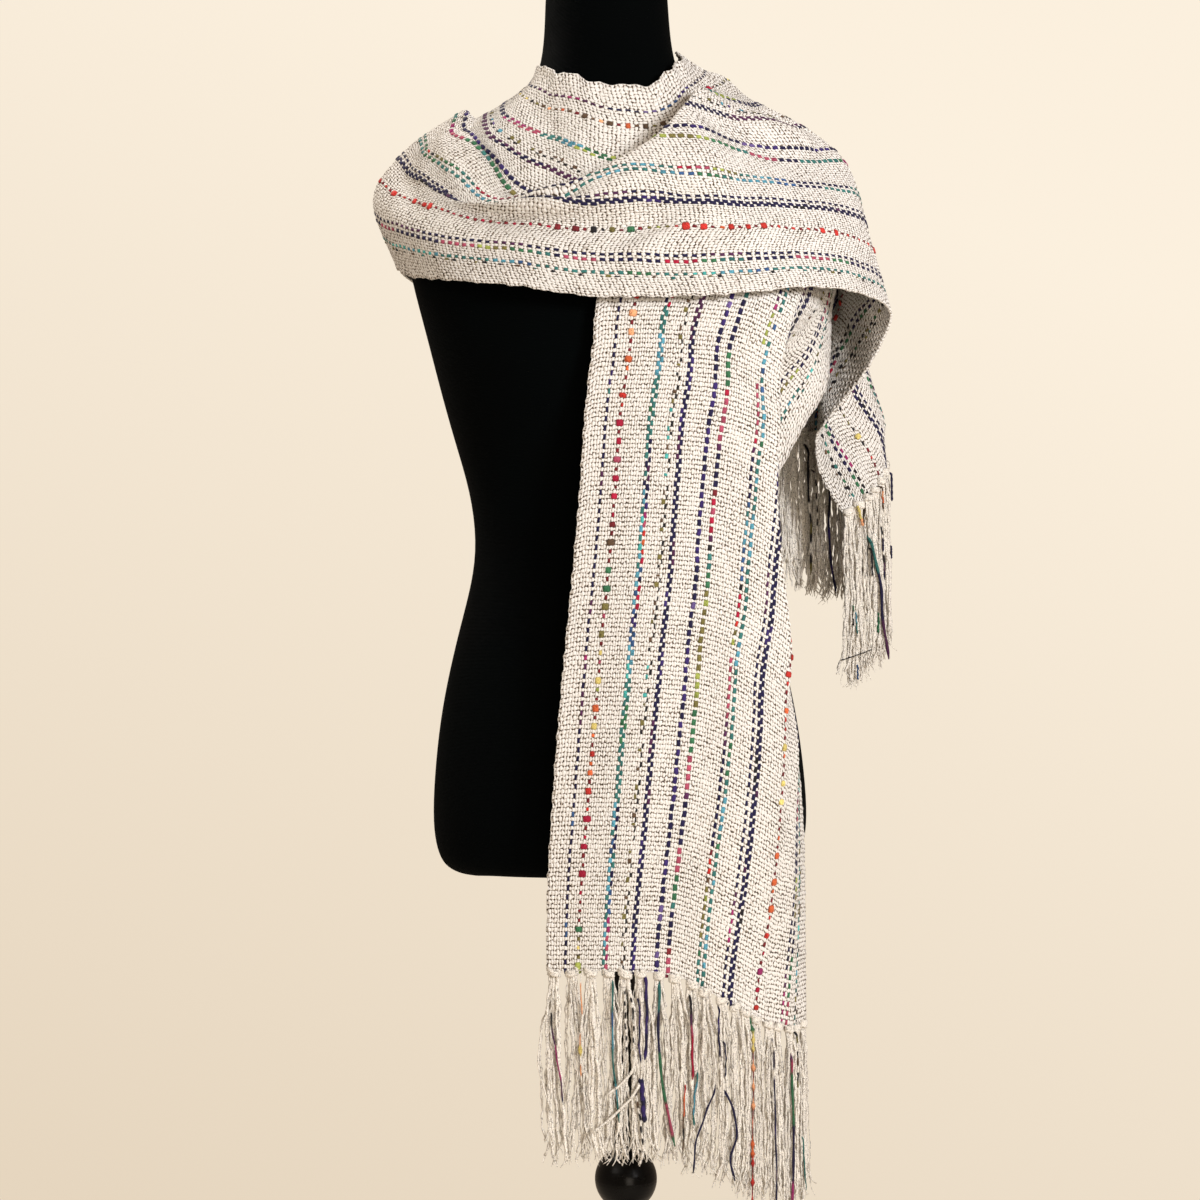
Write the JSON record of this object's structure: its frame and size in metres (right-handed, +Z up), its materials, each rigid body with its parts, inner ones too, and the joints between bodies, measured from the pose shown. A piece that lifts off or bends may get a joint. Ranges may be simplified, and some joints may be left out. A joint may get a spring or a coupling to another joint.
{
  "type": "handwoven scarf draped on a limbless dress form with a turned stand",
  "caption": "Long cream handwoven cotton scarf with coloured warp stripes and knotted fringe, wrapped round the shoulders of a black limbless dress form on a round stand.",
  "frame": {"origin": "on the floor, at the centre of the stand's round foot, under the form's own axis", "axes": "+Z up along the stand, -Y to the form's front where the panel hangs, +X to the viewer's right"},
  "size_m": [0.4796, 0.34, 1.545],
  "materials": {
    "woven_cotton": "handwoven cream cotton plain weave with coloured warp stripes, matte",
    "knotted_fringe": "loose knotted warp yarns, mostly cream with a few coloured strands, matte",
    "form_cover": "black jersey stretched smooth, matte with a faint nap",
    "stand_wood": "turned wood with black gloss lacquer",
    "stand_metal": "black satin paint"
  },
  "bodies": {
    "root": {"scarf_front_panel": "woven_cotton", "scarf_back_wrap": "woven_cotton", "scarf_chest_band": "woven_cotton", "scarf_tail": "woven_cotton", "fringe_front": "knotted_fringe", "fringe_tail": "knotted_fringe", "form_torso": "form_cover", "stand_pole": "stand_metal", "stand_ball": "stand_wood", "stand_column": "stand_wood", "stand_foot": "stand_wood"}
  },
  "joints": []
}
